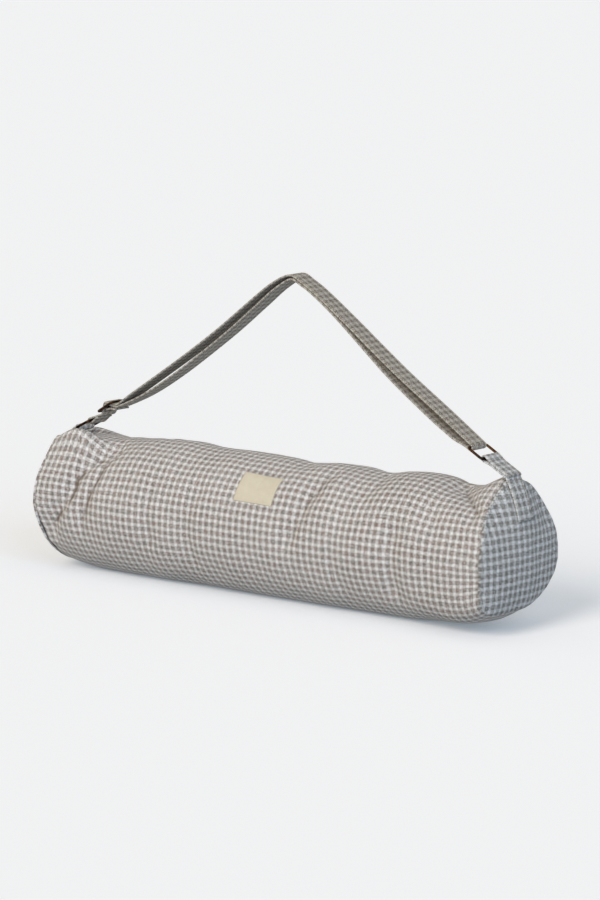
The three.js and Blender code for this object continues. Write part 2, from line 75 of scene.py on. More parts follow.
# Broad folds: start place and angle, end place and angle, depth and width as shares of the height
folds = [
    (-0.74, 62, -0.83, 22, 0.030, 0.075), (-0.83, 22, -0.94, -22, 0.024, 0.075),
    (-0.69, 62, -0.76, 4, 0.018, 0.075), (-0.36, 50, -0.43, -12, 0.010, 0.090),
    (0.13, 80, 0.26, 44, 0.010, 0.080), (0.26, 44, 0.18, 4, 0.018, 0.080),
    (0.62, 20, 0.62, -28, 0.016, 0.080), (0.80, 86, 0.95, 46, 0.022, 0.090),
    (-0.62, 168, -0.52, 122, 0.018, 0.085), (-0.08, 172, 0.05, 128, 0.016, 0.090),
    (0.48, 170, 0.40, 120, 0.018, 0.085), (0.86, 172, 0.80, 126, 0.018, 0.085),
]

# Cloth drawn up at the ends: which end, place across, place in from the seam, rise, spread across, reach along
pulls = [
    (1, 0, 0, 0.072, 0.80, 0.085), (1, 1.60, 0, 0.075, 1.10, 0.090),
    (-1, -1.25, 0.090, 0.125, 0.55, 0.110), (-1, 1.12, 0, 0.078, 0.38, 0.120),
]

# Sharp creases in the cloth: depth, reach of the left flank and of the right one, all in mm, then places as
# (mm along, degrees up)
creases = [
    (6.0, 26, 8, [(-246, 52), (-271, 27), (-271, 10), (-306, -19)]),
    (4.6, 20, 7, [(-227, 64), (-236, 30), (-246, 8), (-250, -6)]),
    (3.8, 22, 10, [(92, 66), (80, 46), (63, 8)]),
    (3.4, 10, 22, [(202, 16), (204, 1), (202, -28)]),
    (4.2, 20, 10, [(263, 81), (289, 63), (310, 50)]),
    (3.0, 20, 9, [(-140, 40), (-150, 8), (-146, -18)]),
    (2.8, 10, 20, [(150, 84), (158, 66), (150, 50)]),
    (2.6, 20, 9, [(-78, 30), (-92, 2), (-84, -34)]),
    (2.2, 9, 20, [(126, 22), (118, -4), (128, -36)]),
    (2.4, 16, 9, [(254, 40), (262, 14), (256, -20)]),
    (2.4, 15, 9, [(-190, 150), (-176, 118), (-182, 96)]),
    (2.4, 9, 16, [(30, 160), (20, 128), (28, 104)]),
    (2.4, 15, 9, [(230, 158), (246, 130), (240, 108)]),
]


# Reads a column of a table with a smooth curve through the rows
def readTable(table, column, at):
    spots, values = table[:, 0], table[:, column]
    at = np.asarray(at, float)
    row = np.clip(np.searchsorted(spots, at, side="left") - 1, 0, len(spots) - 2)
    span = spots[row + 1] - spots[row]
    share = np.clip((at - spots[row]) / span, 0, 1)
    before, after = np.maximum(row - 1, 0), np.minimum(row + 2, len(spots) - 1)
    startSlope = (values[row + 1] - values[before]) / (spots[row + 1] - spots[before]) * span
    endSlope = (values[after] - values[row]) / (spots[after] - spots[row]) * span
    square, cube = share ** 2, share ** 3
    return ((2 * cube - 3 * square + 1) * values[row] + (cube - 2 * square + share) * startSlope
            + (3 * square - 2 * cube) * values[row + 1] + (cube - square) * endSlope)


def bell(distance, width):
    return np.exp(-(distance / width) ** 2)


def smoothStep(value, low, high):
    share = np.clip((value - low) / (high - low), 0, 1)
    return share * share * (3 - 2 * share)


# The offset of each place from the nearest point of a straight line
def lineOffset(x, y, start, end):
    run = np.array(end, float) - np.array(start, float)
    share = np.clip(((x - start[0]) * run[0] + (y - start[1]) * run[1]) / (run @ run), 0, 1)
    return x - start[0] - run[0] * share, y - start[1] - run[1] * share


def lineDistance(x, y, start, end):
    return np.hypot(*lineOffset(x, y, start, end))


# How deep a crease is: steep on one flank and long on the other, so that the cloth breaks into flat facets
def creaseDepth(x, y, depth, leftReach, rightReach, spots):
    offsets = np.array([lineOffset(x, y, start, end) for start, end in zip(spots, spots[1:])])
    distances = np.hypot(offsets[:, 0], offsets[:, 1])
    nearest = distances.argmin(axis=0)[None]
    distance = np.take_along_axis(distances, nearest, 0)[0]
    sideways = np.take_along_axis(offsets[:, 0], nearest, 0)[0]
    blend = smoothStep(sideways, -1.5, 1.5)
    reach = leftReach + (rightReach - leftReach) * blend
    return depth * np.clip(1 - distance / (facetCurve * reach), 0, 1) ** facetCurve


# How much painted shade a sharp fold lays on the cloth beside it, from 0 to 1
def paintedCreaseShade(x, y, depth, spots):
    distance = np.min([lineDistance(x, y, start, end) for start, end in zip(spots, spots[1:])], axis=0)
    share = (depth - creaseShadeSpan["from"]) / (creaseShadeSpan["full"] - creaseShadeSpan["from"])
    return creaseShadeSpan["most"] * np.clip(share, 0, 1) * bell(distance, creaseShadeSpan["width"])


# A crease's places in mm along and mm round the bag
def roundBag(spots):
    return [(x, math.radians(degrees) * midHeight) for x, degrees in spots]


def foldDepth(x, angle):
    arc = angle * midHeight
    depth = 0
    for startAt, startAngle, endAt, endAngle, deep, wide in folds:
        start = (startAt * halfLength, math.radians(startAngle) * midHeight)
        end = (endAt * halfLength, math.radians(endAngle) * midHeight)
        depth = depth + deep * bag["height"] * bell(lineDistance(x, arc, start, end), wide * bag["height"])
    return depth


def pullRise(along, y, webWidth=26):
    rise = 0
    for end, across, inset, high, spread, reach in pulls:
        beside = bell(y - across * webWidth, spread * webWidth)
        rise = rise + high * bag["height"] * beside * bell(1 - along * end - inset, reach)
    return rise


# How far the foot of the left end is drawn in
def footShift(along, angle):
    return bag["leftFoot"] * halfLength * bell(1 + along, bag["footReach"]) * np.maximum(-np.sin(angle), 0)


def bodyPoint(along, angle, inset=0.0):
    along, angle = np.asarray(along, float), np.asarray(angle, float)
    top = readTable(sections, 1, along) * bag["height"]
    side = readTable(sections, 2, along) * bag["width"]
    under = readTable(sections, 3, along) * bag["height"]
    dent = foldDepth(along * halfLength, angle) + inset
    up = np.sin(angle)
    corner = np.where(np.cos(angle) > 0, readTable(sections, 4, along), readTable(sections, 5, along))
    out = np.where(up > 0, 1, 1 + corner * np.abs(np.sin(2 * angle)) ** 3)
    y = -np.cos(angle) * (bag["width"] / 2 + side / 2 - dent) * out
    reach = np.where(up > 0, midHeight + top - dent, (midHeight + bag["floorCut"] - under - dent) * out)
    base = midHeight + up * reach + pullRise(along, y) * smoothStep(up, 0, 1)
    floor = np.maximum(inset, 0)
    above = base - floor
    z = floor + (above + np.sqrt(above ** 2 + bag["floorSoftness"] ** 2)) / 2
    endLean = np.where(along > 0, bag["rightLean"], bag["leftLean"]) * halfLength
    lean = endLean * bell(1 - np.abs(along), bag["leanReach"]) * smoothStep(z / bag["height"], 1 - bag["leanDrop"], 1)
    x = along * halfLength - np.sign(along) * lean + footShift(along, angle)
    return np.stack([x, y, z], axis=-1)


# The part's origin is under the middle of the whole outline, a little off the middle of the tube
shift = np.array([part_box("body_tube")[0][0] / mm + halfLength, 0, 0])


# One smooth random value for each point, with lumps of about the size given in mm
def noiseField(points, size, seed):
    flat = points.reshape(-1, 3) / size
    values = [noise.noise(Vector((p[0] + seed, p[1], p[2] - seed))) for p in flat]
    return np.array(values).reshape(points.shape[:-1])


def gridFaces(rows, columns, wrap=True):
    cells = columns if wrap else columns - 1
    row, column = np.meshgrid(np.arange(rows - 1), np.arange(cells), indexing="ij")
    nextColumn = (column + 1) % columns
    quads = [row * columns + column, (row + 1) * columns + column, (row + 1) * columns + nextColumn,
             row * columns + nextColumn]
    return np.stack(quads, axis=-1).reshape(-1, 4)


# Makes a mesh from points in mm. uvs has one pair for each corner of each face, in check repeats, and the last
# argument one value of painted crease shade from 0 to 1 for each point.
def makePiece(name, points, faces, uvs, material, shadeAlongCreases=None):
    mesh = bpy.data.meshes.new(name)
    mesh.from_pydata(((points.reshape(-1, 3) + shift) * mm).tolist(), [], [list(face) for face in faces])
    layer = mesh.uv_layers.new(name="clothMap")
    layer.data.foreach_set("uv", np.concatenate([np.asarray(pair, float).ravel() for pair in uvs]))
    if shadeAlongCreases is not None:
        mesh.attributes.new("painted_crease_shade", "FLOAT", "POINT").data.foreach_set("value", shadeAlongCreases.ravel())
    mesh.materials.append(material)
    piece = addObject(name, mesh)
    shape = bmesh.new()
    shape.from_mesh(mesh)
    bmesh.ops.recalc_face_normals(shape, faces=shape.faces)
    shape.to_mesh(mesh)
    shape.free()
    mesh.polygons.foreach_set("use_smooth", [True] * len(mesh.polygons))
    mesh.update()
    return piece


# Puts a mesh, lamp or camera into the scene
def addObject(name, data):
    made = bpy.data.objects.new(name, data)
    bpy.context.scene.collection.objects.link(made)
    return made


# Turns an sRGB hex colour into a linear one
def paint(code):
    parts = [int(code[i:i + 2], 16) / 255 for i in (1, 3, 5)]
    return tuple(c / 12.92 if c <= 0.04045 else ((c + 0.055) / 1.055) ** 2.4 for c in parts) + (1,)


# Adds a node. Each input is a value or another node's output.
def addNode(tree, kind, settings=None, inputs=None):
    node = tree.nodes.new(kind)
    for key, value in (settings or {}).items():
        setattr(node, key, value)
    for key, value in (inputs or {}).items():
        if isinstance(value, bpy.types.NodeSocket):
            tree.links.new(value, node.inputs[key])
        else:
            node.inputs[key].default_value = value
    return node


def newMaterial(name):
    material = bpy.data.materials.new(name)
    material.use_nodes = True
    tree = material.node_tree
    tree.nodes.clear()
    surface = addNode(tree, "ShaderNodeBsdfPrincipled")
    output = addNode(tree, "ShaderNodeOutputMaterial")
    tree.links.new(surface.outputs["BSDF"], output.inputs["Surface"])
    return material, tree, surface


# Small shader steps, each giving its one useful output
def noiseOf(tree, place, scale, detail=2.0, flat=False):
    return addNode(tree, "ShaderNodeTexNoise", {"noise_dimensions": "2D" if flat else "3D"},
                   {"Vector": place, "Scale": scale, "Detail": detail}).outputs["Fac"]


def workOut(tree, operation, first, second=0.5):
    return addNode(tree, "ShaderNodeMath", {"operation": operation}, {0: first, 1: second}).outputs[0]


def rangeOf(tree, value, low, high, toLow=0.0, toHigh=1.0, interpolation="LINEAR"):
    return addNode(tree, "ShaderNodeMapRange", {"interpolation_type": interpolation}, {
        "Value": value, "From Min": low, "From Max": high, "To Min": toLow, "To Max": toHigh}).outputs["Result"]


def blendColours(tree, factor, first, second):
    return addNode(tree, "ShaderNodeMix", {"data_type": "RGBA"}, {0: factor, 6: first, 7: second}).outputs[2]


def checkerOf(tree, place, scale):
    return addNode(tree, "ShaderNodeTexChecker", None, {
        "Vector": place, "Scale": scale, "Color1": (1, 1, 1, 1), "Color2": (0, 0, 0, 1)}).outputs["Fac"]


def addBump(tree, surface, height, strength, distance):
    bump = addNode(tree, "ShaderNodeBump", None, {"Strength": strength, "Distance": distance, "Height": height})
    tree.links.new(bump.outputs["Normal"], surface.inputs["Normal"])


# What all the checked cottons share: yarns in a repeat, edge blur, flecks, fading and the colour of the painted shade
# along sharp creases
weave = {"yarns": 8.0, "blur": 0.03, "fleck": 0.46, "fade": 0.08, "fold": "#5d4d40"}


# Yarn-dyed cotton in plain weave: each yarn is dark or light, so the squares are dark, light or a
# mixture of the two. The yarns are really 0.5 mm apart and are drawn 1.1 mm apart so that they show.
def checkedCotton(name, look):
    material, tree, surface = newMaterial(name)
    place = addNode(tree, "ShaderNodeUVMap", {"uv_map": "clothMap"}).outputs["UV"]
    object3d = addNode(tree, "ShaderNodeTexCoord").outputs["Object"]
    wander = addNode(tree, "ShaderNodeTexNoise", {"noise_dimensions": "2D"},
                     {"Vector": place, "Scale": 0.9, "Detail": 2.0})
    drift = addNode(tree, "ShaderNodeVectorMath", {"operation": "MULTIPLY_ADD"},
                    {0: wander.outputs["Color"], 1: (0.12, 0.12, 0), 2: place})
    axes = addNode(tree, "ShaderNodeSeparateXYZ", None, {0: drift.outputs[0]})
    stripes, threads = [], []
    for axis in ("X", "Y"):
        wave = workOut(tree, "PINGPONG", axes.outputs[axis])
        stripes.append(rangeOf(tree, wave, look["edge"] - weave["blur"], look["edge"] + weave["blur"],
                               interpolation="SMOOTHSTEP"))
        threads.append(workOut(tree, "MULTIPLY", axes.outputs[axis], weave["yarns"]))
    crossing = addNode(tree, "ShaderNodeCombineXYZ", None, {0: threads[0], 1: threads[1], 2: 0.5}).outputs[0]
    overUnder = checkerOf(tree, crossing, 1.0)
    dye = addNode(tree, "ShaderNodeMix", {"data_type": "FLOAT"},
                  {0: overUnder, 2: stripes[0], 3: stripes[1]}).outputs[0]
    slub = noiseOf(tree, place, 5.0, 3.0, flat=True)
    fleck = rangeOf(tree, slub, 0.38, 0.62, -weave["fleck"], weave["fleck"])
    shade = addNode(tree, "ShaderNodeMath", {"operation": "ADD", "use_clamp": True}, {0: dye, 1: fleck}).outputs[0]
    dyeLot = rangeOf(tree, noiseOf(tree, place, 1.3, 3.0, flat=True), 0.36, 0.64)
    darkYarn = blendColours(tree, dyeLot, paint(look["dark"]), paint(look["darkWarm"]))
    colour = blendColours(tree, shade, paint(look["light"]), darkYarn)
    fade = rangeOf(tree, noiseOf(tree, object3d, 14.0, 3.0), 0.35, 0.65, 0.0, weave["fade"])
    faded = blendColours(tree, fade, colour, paint(look["light"]))
    # Painted shade: the crease attribute darkens the cloth along the sharp creases
    fold = addNode(tree, "ShaderNodeAttribute", {"attribute_name": "painted_crease_shade"}).outputs["Fac"]
    tree.links.new(blendColours(tree, fold, faded, paint(weave["fold"])), surface.inputs["Base Color"])
    ridges = [workOut(tree, "SINE", workOut(tree, "MULTIPLY", yarn, math.pi)) for yarn in threads]
    cloth = workOut(tree, "MULTIPLY", ridges[0], ridges[1])
    addBump(tree, surface, workOut(tree, "ADD", cloth, slub), 0.55, 0.00012)
    tree.links.new(rangeOf(tree, slub, 0.0, 1.0, 0.82, 0.96), surface.inputs["Roughness"])
    surface.inputs["Specular IOR Level"].default_value = 0.2
    surface.inputs["Sheen Weight"].default_value = 0.12  # short fibres that stand off the yarns
    surface.inputs["Sheen Roughness"].default_value = 0.6
    return material


bodyCotton = checkedCotton("yarn_dyed_cotton_body", {
    "dark": "#6f6b64", "darkWarm": "#806d62", "light": "#e4e4e2", "edge": 0.21})
# A darker, cooler copy of the body's check for the right end panel and the tabs: painted shade and painted cool side
# light
shadeCopyCotton = checkedCotton("yarn_dyed_cotton_painted_shade", {
    "dark": "#62635d", "darkWarm": "#6b665f", "light": "#d6d9d9", "edge": 0.21})
strapCotton = checkedCotton("folded_cotton_webbing", {
    "dark": "#605b52", "darkWarm": "#6b6055", "light": "#b9b5aa", "edge": 0.24})


# Unbleached cotton tape: cream, close plain weave
def creamCotton():
    material, tree, surface = newMaterial("cream_cotton_label")
    place = addNode(tree, "ShaderNodeUVMap", {"uv_map": "clothMap"}).outputs["UV"]
    slub = noiseOf(tree, place, 6.0, 4.0, flat=True)
    cloudy = noiseOf(tree, place, 0.8, flat=True)
    both = workOut(tree, "MULTIPLY", workOut(tree, "ADD", slub, cloudy), 0.5)
    tree.links.new(blendColours(tree, both, paint("#c9c1a9"), paint("#e0d9c5")), surface.inputs["Base Color"])
    addBump(tree, surface, workOut(tree, "ADD", checkerOf(tree, place, 16.0), slub), 0.5, 0.0001)
    surface.inputs["Roughness"].default_value = 0.88
    surface.inputs["Specular IOR Level"].default_value = 0.25
    return material


# Antiqued brass wire: brown-black, with the brass showing through where it is rubbed
def antiqueBrass():
    material, tree, surface = newMaterial("antiqued_brass_wire")
    rub = noiseOf(tree, addNode(tree, "ShaderNodeTexCoord").outputs["Object"], 160.0, 4.0)
    bare = rangeOf(tree, rub, 0.42, 0.72)
    tree.links.new(blendColours(tree, bare, paint("#2a1f18"), paint("#7a4f2c")), surface.inputs["Base Color"])
    tree.links.new(rangeOf(tree, rub, 0.0, 1.0, 0.24, 0.46), surface.inputs["Roughness"])
    addBump(tree, surface, rub, 0.2, 0.00008)
    surface.inputs["Metallic"].default_value = 1.0
    return material


# Spun cotton sewing thread: greige, matt
def cottonThread():
    material, tree, surface = newMaterial("cotton_sewing_thread")
    twist = noiseOf(tree, addNode(tree, "ShaderNodeTexCoord").outputs["Object"], 900.0)
    tree.links.new(blendColours(tree, twist, paint("#b5ab98"), paint("#e2dac8")), surface.inputs["Base Color"])
    surface.inputs["Roughness"].default_value = 0.85
    return material


creamLabel = creamCotton()
darkBrass = antiqueBrass()
thread = cottonThread()
print("materials made")


# The tube's outside is a fine skin and its inside a plainer one that follows the folds. Its ends are rolled in
# at the seams.


# Small gathers along a seam, in mm: how many, how they sway and which lumps they follow
def gathers(plain, angle, waves, sway, seed):
    return np.sin(angle * waves + sway) * (0.5 + 0.8 * noiseField(plain, 30, seed))


# How far the cloth is rolled in beside a seam, in mm
def rollIn(fromSeam, end):
    depth = np.where(end > 0, bag["seamRoll"][1], bag["seamRoll"][-1])
    return depth * (1 - np.sqrt(1 - np.clip(1 - fromSeam / bag["rollReach"], 0, 1) ** 2))


# How far the cloth stands out from the plain form, in mm
def bodyRelief(along, angle):
    x, arc = along * halfLength, angle * midHeight
    plain = bodyPoint(along, angle)
    relief = 2.0 * noiseField(plain, 58, 3.1) + 1.0 * noiseField(plain, 26, 7.7)
    for depth, leftReach, rightReach, spots in creases:
        relief = relief - creaseDepth(x, arc, depth, leftReach, rightReach, roundBag(spots))
    fromSeam = halfLength - np.abs(x)
    relief = relief + 0.7 * gathers(plain, angle, 27, 2.2 * np.sin(angle * 5), 12.4) * np.exp(-fromSeam / 11)
    onFloor = smoothStep(-np.sin(angle), 0.80, 0.97)
    return relief * (1 - onFloor)


def makeBody():
    rows, sides = bag["bodyRows"], bag["bodySides"]
    turn = np.linspace(-math.pi / 2, 3 * math.pi / 2, sides, endpoint=False)
    along = np.linspace(-1, 1, rows + 1)
    place, angle = np.meshgrid(along, turn, indexing="ij")
    relief = bodyRelief(place, angle)
    fromSeam = (1 - np.abs(place)) * halfLength
    outer = bodyPoint(place, angle, rollIn(fromSeam, place) - relief)
    # Painted shade along the sharp creases, one value for each point of the outer skin
    shadeAlongCreases = np.zeros(place.shape)
    for depth, _, _, spots in creases:
        shadeAlongCreases = np.maximum(shadeAlongCreases, paintedCreaseShade(place * halfLength, angle * midHeight, depth, roundBag(spots)))
    back = np.linspace(1, -1, bag["innerRows"] + 1)
    innerPlace, innerAngle = np.meshgrid(back, turn, indexing="ij")
    sunk = np.minimum(bodyRelief(innerPlace, innerAngle), 0)
    inner = bodyPoint(innerPlace, innerAngle, bag["innerDepth"] - bag["innerFollow"] * sunk)
    points = np.concatenate([outer, inner])
    shadeAlongCreases = np.concatenate([shadeAlongCreases, np.zeros(innerPlace.shape)])
    faces = gridFaces(len(points) + 1, sides) % (len(points) * sides)
    ring = bodyPoint(np.zeros(sides + 1), np.append(turn, turn[0] + 2 * math.pi))
    around = np.concatenate([[0], np.cumsum(np.linalg.norm(np.diff(ring, axis=0), axis=1))]) / checkRepeat
    lengths = np.concatenate([along, back]) * halfLength / checkRepeat
    row, column = faces[:, 0] // sides, faces[:, 0] % sides
    nextRow = (row + 1) % len(points)
    corners = [(row, column), (nextRow, column), (nextRow, column + 1), (row, column + 1)]
    uvs = np.stack([np.stack([lengths[r], around[c]], axis=-1) for r, c in corners], axis=1)
    return makePiece("bag_body", points, faces, [uvs], bodyCotton, shadeAlongCreases)


bagBody = makeBody()
print("body made")


# The end panels are domed discs with their rims rolled in to the seams. Their creases are given as depth,
# reach of each flank and places as (mm across, mm up).
panelCreases = {
    1: [(2.4, 12, 6, [(38, 146), (52, 122)]), (3.0, 7, 5, [(26, 30), (46, 33)]),
        (1.6, 9, 6, [(-40, 138), (-52, 118)]), (1.8, 10, 8, [(20, 96), (34, 60)])],
    -1: [(2.4, 10, 8, [(-30, 132), (-52, 100)]), (2.2, 8, 10, [(34, 128), (50, 92)]),
         (1.6, 8, 8, [(-20, 30), (-42, 44)])],
}


def panelPoint(end, share, angle, out):
    seam = bodyPoint(np.full(np.shape(angle), float(end)), angle)
    flatX = end * halfLength
    foot = footShift(float(end), angle)
    rim = (seam[..., 0] - flatX - foot) * share ** 3 + foot * share ** bag["footRoll"]
    full = 1 - share ** (bag["rightPuff"] if end > 0 else bag["leftPuff"])
    x = flatX + rim + end * (out + bag["dome"] * full)
    return np.stack([x, seam[..., 1] * share, midHeight + (seam[..., 2] - midHeight) * share], axis=-1)


def makePanel(end, name):
    sides, rows = bag["bodySides"], bag["panelRows"]
    turn = np.linspace(-math.pi / 2, 3 * math.pi / 2, sides, endpoint=False)
    shares = 1 - (1 - np.linspace(0, 1, rows + 1)[1:]) ** 1.25
    share, angle = np.meshgrid(shares, turn, indexing="ij")
    plain = panelPoint(end, share, angle, 0)
    fromSeam = (1 - share) * midHeight
    relief = 2.0 * noiseField(plain, 48, 21.3 + end) + 0.9 * noiseField(plain, 22, 33.9 + end)
    for depth, leftReach, rightReach, spots in panelCreases[end]:
        relief = relief - creaseDepth(plain[..., 1], plain[..., 2], depth, leftReach, rightReach, spots)
    gather = gathers(plain, angle, 25, 2.0 * np.sin(angle * 4 + 1), 41.0)
    relief = (relief + 0.9 * gather * np.exp(-fromSeam / 13)) * smoothStep(fromSeam, -1, 5)
    outer = panelPoint(end, share, angle, bag["seatGap"] + bag["wall"] + relief - rollIn(fromSeam, end))
    backShare, backAngle = np.meshgrid(np.linspace(1, 0, bag["backRows"] + 1)[:-1], turn, indexing="ij")
    back = panelPoint(end, backShare, backAngle, bag["seatGap"] - bag["backHollow"] * (1 - backShare ** 6))
    skin = np.concatenate([outer, back])
    quads = gridFaces(len(skin), sides)
    frontPole = panelPoint(end, 0.0, np.array(0.0), bag["seatGap"] + bag["wall"] + relief[0].mean())
    backPole = panelPoint(end, 0.0, np.array(0.0), bag["seatGap"] - bag["backHollow"])
    points = np.concatenate([skin.reshape(-1, 3), [frontPole, backPole]])
    first = np.arange(sides)
    last = (len(skin) - 1) * sides + first
    fans = [np.stack([np.full(sides, len(points) - 2), first, np.roll(first, -1)], axis=-1),
            np.stack([np.full(sides, len(points) - 1), np.roll(last, -1), last], axis=-1)]
    faces = [list(f) for f in quads] + [list(f) for fan in fans for f in fan]
    flatMap = np.stack([points[:, 1] * end, points[:, 2]], axis=-1) / checkRepeat + 0.25
    uvs = [flatMap[quads], flatMap[fans[0]], flatMap[fans[1]]]
    # The right panel takes the check copy with painted shade and painted cool light, the left one the plain body check
    return makePiece(name, points, faces, uvs, shadeCopyCotton if end > 0 else bodyCotton)


panelRight = makePanel(1, "end_cloth_right")
panelLeft = makePanel(-1, "end_cloth_left")
print("end panels made")

# Webbing and metal. The route of each strip is a line of (x, z) points in the bag's middle plane.
web = {
    "width": 26, "thickness": 2.2, "wire": 3, "ringLength": 24.6, "sliderLength": 28, "sideClearance": 1.6,
    "layerGap": 6.2, "tabLength": 34, "tabRise": 29, "tabStrip": 46, "leftTabLength": 17, "leftTabRise": 27,
    "sliderDistance": 33, "sliderRise": 31, "sewnLoop": 13, "peakHeight": 370, "peakOffset": 13, "step": 2.0,
    "grooveFromEdge": 2.6, "grooveDepth": 0.3, "layerRoom": 0.06, "loopSpread": 2.2,
}
loopRadius = web["wire"] / 2 + bag["seatGap"] + web["thickness"] / 2
barPitch = web["ringLength"] - web["wire"]
sliderPitch = (web["sliderLength"] - web["wire"]) / 2
cornerRadius = web["sideClearance"] + web["wire"] / 2

# Bow of the strap's legs: place along the leg, bow as a share of its height
leftLegBow = [(0.10, -0.004), (0.22, -0.008), (0.40, -0.011), (0.60, -0.002), (0.78, 0.024), (0.90, 0.034)]
rightLegBow = [(0.07, 0.028), (0.15, 0.037), (0.30, 0.029), (0.45, 0.013), (0.60, 0.001), (0.82, 0.003)]

# Gap between the strap's layers: place from the slider to the right ring, share of the layer gap
layerGaps = np.array([
    (0, 0.08), (0.05, 0.95), (0.12, 1.35), (0.25, 1.25), (0.40, 1.05), (0.48, 0.65), (0.53, 0.12), (0.62, 0.12),
    (0.70, 0.55), (0.80, 1.15), (0.92, 1.45), (1.00, 1.10),
])


def inwardDirection(end, degrees):
    return np.array([-end * math.cos(math.radians(degrees)), math.sin(math.radians(degrees))])


def tabRoot(end):
    seam = bodyPoint(end, math.pi / 2)
    spread = math.asin(web["width"] / bag["width"])
    heights = [bodyPoint(end, math.pi / 2 + share * spread)[2] for share in (-1, -0.5, 0, 0.5, 1)]
    over = bag["seatGap"] + bag["wall"] + web["thickness"] / 2
    return np.array([seam[0] + end * over, max(heights) + bag["seatGap"] + web["thickness"]])


def sideOf(run):
    return np.array([-run[1], run[0]])


root = {"right": tabRoot(1), "left": tabRoot(-1)}
lead = {"right": inwardDirection(1, web["tabRise"]), "left": inwardDirection(-1, web["leftTabRise"])}
lowerBar = {"right": root["right"] + lead["right"] * web["tabLength"],
            "left": root["left"] + lead["left"] * (web["leftTabLength"] + loopRadius)}
upperBar = {side: lowerBar[side] + lead[side] * barPitch for side in ("right", "left")}
sliderLead = inwardDirection(-1, web["sliderRise"])
sliderNormal = sideOf(sliderLead)
sliderMiddle = upperBar["left"] + sliderLead * web["sliderDistance"] + sliderNormal * loopRadius


def nearSlider(along, above):
    return sliderMiddle + sliderLead * along + sliderNormal * above


def splineThrough(points, samples=24):
    points = np.array(points)
    padded = np.concatenate([points[:1], points, points[-1:]])
    line = []
    for k in range(len(points) - 1):
        p0, p1, p2, p3 = padded[k:k + 4]
        for t in np.arange(samples) / samples:
            v0, v1 = (p2 - p0) / 2, (p3 - p1) / 2
            line.append((2 * p1 - 2 * p2 + v0 + v1) * t ** 3 + (-3 * p1 + 3 * p2 - 2 * v0 - v1) * t ** 2 + v0 * t + p1)
    return np.array(line + [points[-1]])


def arcLength(line):
    return np.concatenate([[0], np.cumsum(np.linalg.norm(np.diff(line, axis=0), axis=1))])


def resample(line, step):
    length = arcLength(line)
    places = np.linspace(0, length[-1], max(int(round(length[-1] / step)), 2) + 1)
    return np.stack([np.interp(places, length, line[:, k]) for k in (0, 1)], axis=-1)


def legPoints(start, end, bows):
    height = abs(end[1] - start[1])
    return [start + (end - start) * along + np.array([0, bow * height]) for along, bow in bows]


# Points round a bar, from the direction given
def turnRound(centre, first, degrees, steps=14):
    angles = np.radians(np.linspace(0, degrees, steps + 1))
    return [centre + loopRadius * (first * math.cos(a) + sideOf(first) * math.sin(a)) for a in angles]


def strapRoute():
    half = web["thickness"] / 2 + web["layerRoom"]
    under = -(web["wire"] / 2 + 4 * bag["seatGap"] + web["thickness"] / 2)
    over = loopRadius + web["thickness"] + bag["seatGap"]
    peak = np.array([web["peakOffset"], web["peakHeight"] - web["thickness"] / 2])
    slot = nearSlider(sliderPitch, under)
    ringNormal = np.array([lead["right"][1], -lead["right"][0]])
    wrapStart = upperBar["right"] + ringNormal * loopRadius
    threading = [upperBar["left"], nearSlider(-sliderPitch, under), nearSlider(0, over), slot]
    upper = splineThrough(threading + legPoints(slot, peak, leftLegBow) + [peak]
                          + legPoints(peak, wrapStart, rightLegBow) + [wrapStart])
    length = arcLength(upper)
    loopWay = nearSlider(-sliderPitch, under) - upperBar["left"]
    loopWay = loopWay / np.linalg.norm(loopWay)
    loopSide = sideOf(loopWay)

    def besideLoop(along, out):
        return upperBar["left"] + loopWay * along + loopSide * out

    tail = [besideLoop(web["sewnLoop"], -half), besideLoop(11, -half), besideLoop(8, -half - 0.3),
            besideLoop(5, -web["loopSpread"])]
    eye = turnRound(upperBar["left"], -loopSide, -180)
    rise = [besideLoop(5, web["loopSpread"]), besideLoop(8, half + 0.3), besideLoop(11, half),
            besideLoop(web["sewnLoop"], half)]
    joined = resample(splineThrough(tail + eye + rise, 6), 0.5)
    start = np.searchsorted(length, web["sewnLoop"] + 5)
    first = np.concatenate([joined, resample(splineThrough([joined[-1], upper[start]], 6), 1.0)[1:-1]])
    outward = resample(upper[start:], 1.0)
    wrap = turnRound(upperBar["right"], ringNormal, -180)
    below = []
    begin = web["sliderDistance"] + 2 * sliderPitch
    for along in np.linspace(1, 0, 160):
        place = begin + (length[-1] - begin - 2 * loopRadius) * along
        here = np.array([np.interp(place, length, upper[:, k]) for k in (0, 1)])
        ahead = np.array([np.interp(place + 1.5, length, upper[:, k]) for k in (0, 1)])
        behind = np.array([np.interp(place - 1.5, length, upper[:, k]) for k in (0, 1)])
        run = (ahead - behind) / np.linalg.norm(ahead - behind)
        nearRing = smoothStep(length[-1] - place, 0, web["ringLength"])
        opening = web["thickness"] + bag["seatGap"] + web["layerGap"] * readTable(layerGaps, 1, along)
        pitch = 2 * loopRadius + (opening - 2 * loopRadius) * nearRing
        below.append(here - sideOf(run) * pitch)
    backTo = [below[-1], nearSlider(sliderPitch, under - web["thickness"] - 0.3), nearSlider(6.5, -1.6)]
    lastEye = turnRound(sliderMiddle, sliderNormal, 180)
    tailEnd = [nearSlider(5.5, under - 1.2), nearSlider(sliderPitch - 3, under - 2 * web["thickness"])]
    ending = resample(splineThrough(backTo + lastEye + tailEnd, 6), 0.5)
    return np.concatenate([first, outward, wrap, below, ending[1:]])


# The outline of folded and edge-stitched webbing, as (across, out) points round it
def webSection():
    half, thick = web["width"] / 2, web["thickness"] / 2
    groove = half - web["grooveFromEdge"]
    face = [(0, thick), (groove * 0.55, thick), (groove - 0.8, thick - 0.03), (groove, thick - web["grooveDepth"]),
            (groove + 0.8, thick - 0.05), (half - 0.9, thick - 0.02), (half - 0.3, thick - 0.35), (half, thick * 0.4)]
    quarter = np.array(face)
    lower = quarter[::-1] * (1, -1)
    right = np.concatenate([quarter, lower])
    left = (right * (-1, 1))[::-1]
    return np.concatenate([right, left[1:-1]])


